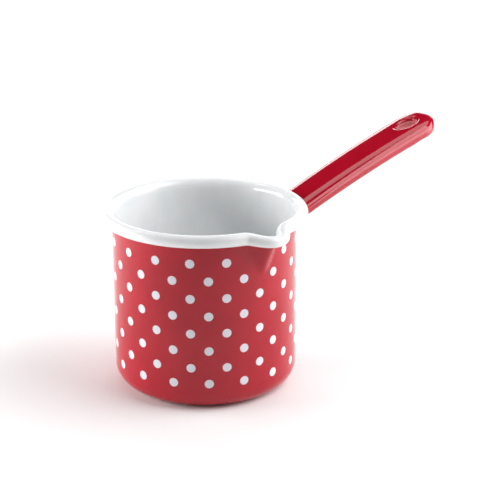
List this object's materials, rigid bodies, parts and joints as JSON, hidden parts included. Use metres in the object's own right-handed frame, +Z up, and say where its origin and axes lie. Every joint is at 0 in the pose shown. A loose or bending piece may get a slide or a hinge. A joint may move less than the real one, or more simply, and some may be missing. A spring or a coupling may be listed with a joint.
{
  "type": "candle melting pot",
  "caption": "Enamelled steel pot for melting and pouring wax: round can with a rolled white rim, a pressed pouring spout and a hollow side handle with a hanging hole.",
  "frame": {"origin": "on the pot's axis, in the plane of the base that it stands on", "axes": "+Z up along the pot's axis, +X towards the handle, -Y towards the spout"},
  "size_m": [0.2731, 0.1451, 0.1487],
  "materials": {
    "white_enamel": "glossy vitreous enamel, cool white",
    "red_enamel": "glossy vitreous enamel, red",
    "handle_red_enamel": "glossy vitreous enamel, deep red",
    "dot_enamel": "fired transfer, white",
    "sheet_steel": "bare low-carbon sheet under the enamel",
    "weld_metal": "ground weld"
  },
  "bodies": {
    "root": {"white_enamel_lining": "white_enamel", "steel_pot_body": "sheet_steel", "red_enamel_jacket": "red_enamel", "handle_enamel": "handle_red_enamel", "handle_upper_shell": "sheet_steel", "handle_lower_shell": "sheet_steel", "handle_edge_weld": "weld_metal", "handle_root_weld": "weld_metal", "hanging_hole_eyelet": "sheet_steel"}
  },
  "joints": []
}
